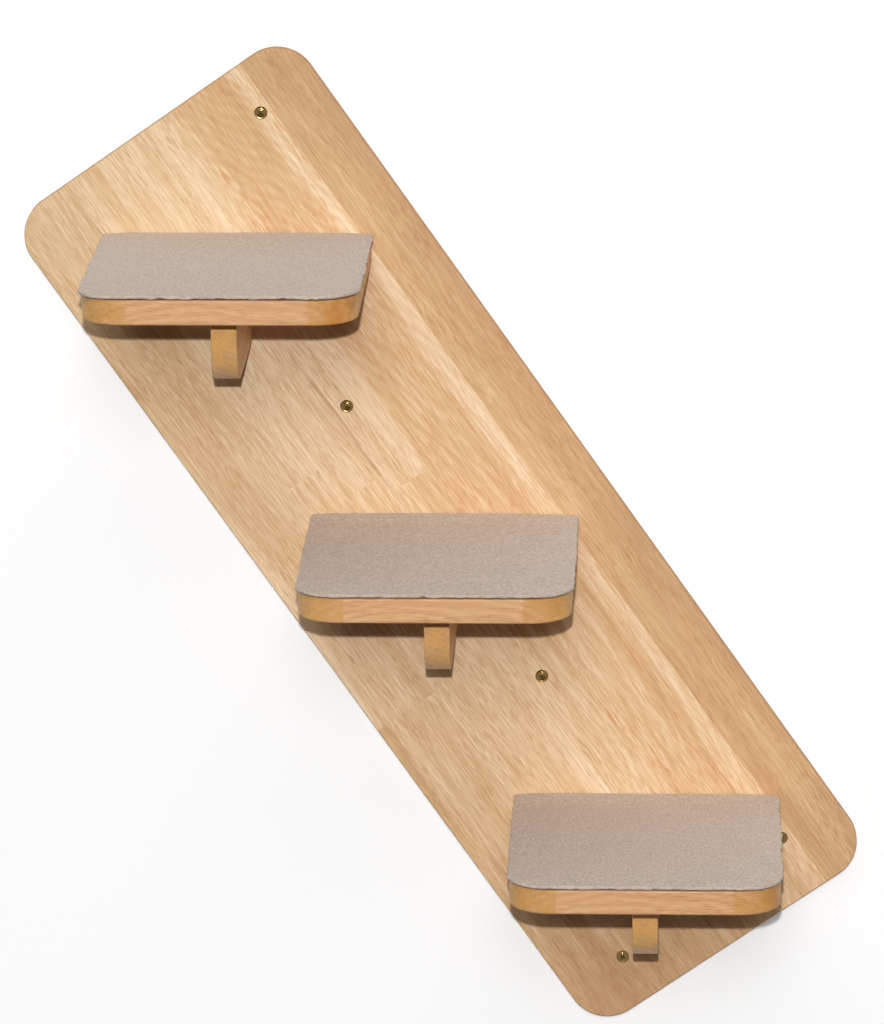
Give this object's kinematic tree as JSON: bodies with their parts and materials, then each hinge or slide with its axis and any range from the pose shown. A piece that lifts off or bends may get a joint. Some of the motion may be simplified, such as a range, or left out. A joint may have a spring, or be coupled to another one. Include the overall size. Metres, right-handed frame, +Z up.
{
  "type": "wall mounted cat tree",
  "caption": "Leaning wooden wall board with level round-cornered shelves on bracket bars, each with a lift-off fabric mat.",
  "frame": {"origin": "middle of the board's back face, on the wall", "axes": "+Z up, +X to the right along the wall, -Y out of the wall into the room"},
  "size_m": [0.812, 0.3433, 0.9792],
  "materials": {
    "board_wood": "satin oak veneer",
    "shelf_wood": "satin lacquered rubberwood",
    "bracket_wood": "satin lacquered rubberwood",
    "mat_fabric": "brushed taupe weave",
    "hook_nylon": "matt hook tape",
    "loop_nylon": "loop tape",
    "yellow_screw": "yellow passivated, polished",
    "steel_screw": "zinc plated",
    "dowel_wood": "plain beech"
  },
  "bodies": {
    "board_and_shelves": {"back_board": "board_wood", "wall_screws": "yellow_screw", "shelf_top": "shelf_wood", "bracket_top": "bracket_wood", "hook_strips_top": "hook_nylon", "shelf_dowels_top": "dowel_wood", "shelf_screws_top": "steel_screw", "bracket_screws_top": "steel_screw", "brace_screws_top": "steel_screw", "shelf_middle": "shelf_wood", "bracket_middle": "bracket_wood", "hook_strips_middle": "hook_nylon", "shelf_dowels_middle": "dowel_wood", "shelf_screws_middle": "steel_screw", "bracket_screws_middle": "steel_screw", "brace_screws_middle": "steel_screw", "shelf_bottom": "shelf_wood", "bracket_bottom": "bracket_wood", "hook_strips_bottom": "hook_nylon", "shelf_dowels_bottom": "dowel_wood", "shelf_screws_bottom": "steel_screw", "bracket_screws_bottom": "steel_screw", "brace_screws_bottom": "steel_screw"},
    "top_mat": {"mat_top": "mat_fabric", "loop_strips_top": "loop_nylon"},
    "middle_mat": {"mat_middle": "mat_fabric", "loop_strips_middle": "loop_nylon"},
    "bottom_mat": {"mat_bottom": "mat_fabric", "loop_strips_bottom": "loop_nylon"}
  },
  "joints": [
    {"name": "top_mat_lift", "type": "slide", "parent": "board_and_shelves", "child": "top_mat", "axis": [0, 0, 1], "range_m": [0, 0.1]},
    {"name": "middle_mat_lift", "type": "slide", "parent": "board_and_shelves", "child": "middle_mat", "axis": [0, 0, 1], "range_m": [0, 0.1]},
    {"name": "bottom_mat_lift", "type": "slide", "parent": "board_and_shelves", "child": "bottom_mat", "axis": [0, 0, 1], "range_m": [0, 0.1]}
  ]
}
